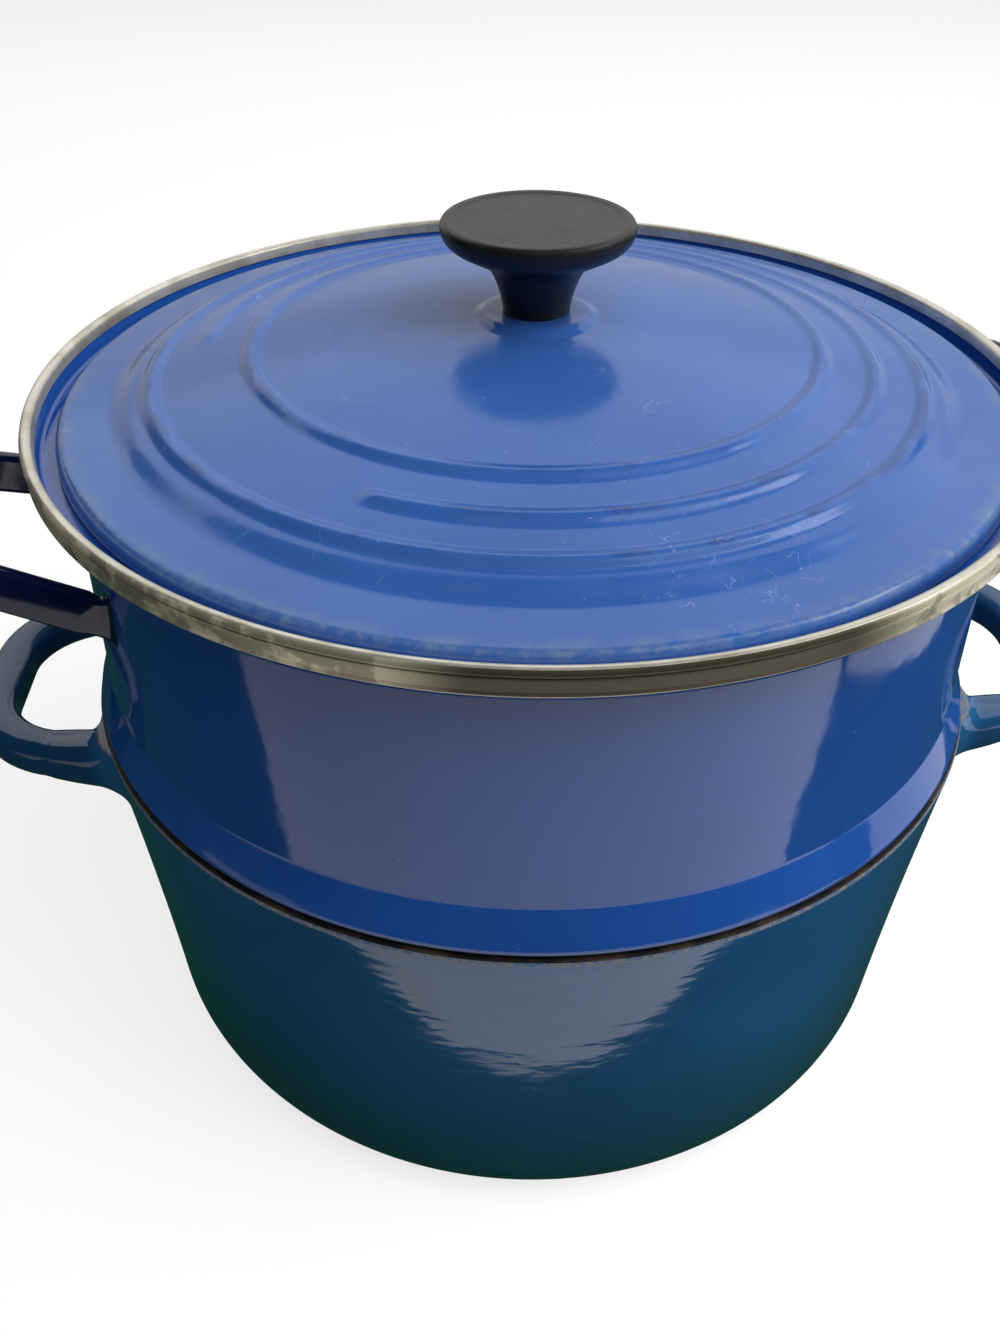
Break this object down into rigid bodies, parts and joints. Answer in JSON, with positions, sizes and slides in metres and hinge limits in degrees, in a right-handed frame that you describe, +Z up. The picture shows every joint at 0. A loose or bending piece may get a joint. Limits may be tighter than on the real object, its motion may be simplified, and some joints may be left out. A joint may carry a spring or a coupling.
{
  "type": "double boiler",
  "caption": "Enamelled double boiler: a cast iron pot with loop handles, a stepped pan with a steel rim seated in it, and a domed lid with a round knob.",
  "frame": {"origin": "centre of the pot's flat base, on the table", "axes": "+Z up; the pot's two loop handles lie along X"},
  "size_m": [0.319, 0.2574, 0.2348],
  "materials": {
    "pot_enamel": "gloss enamel over cast iron, dark teal blue",
    "pan_enamel": "gloss enamel over pressed steel, dark blue",
    "lid_enamel": "gloss enamel over cast iron, deep blue",
    "band_steel": "worn bright steel strip",
    "knob_phenolic": "black phenolic moulding, satin",
    "bush_brass": "plain turned brass",
    "screw_steel": "plain bright steel"
  },
  "bodies": {
    "pot": {"lower_pot": "pot_enamel"},
    "pan": {"upper_pan": "pan_enamel", "steel_rim_band": "band_steel", "upper_handle_left": "pan_enamel", "upper_handle_right": "pan_enamel"},
    "lid": {"lid": "lid_enamel", "knob": "knob_phenolic", "knob_bush": "bush_brass", "knob_screw": "screw_steel", "knob_washer": "screw_steel"}
  },
  "joints": [
    {"name": "pan_lift", "type": "slide", "parent": "pot", "child": "pan", "axis": [0, 0, 1], "range_m": [0, 0.08]},
    {"name": "lid_lift", "type": "slide", "parent": "pan", "child": "lid", "axis": [0, 0, 1], "range_m": [0, 0.06]}
  ]
}
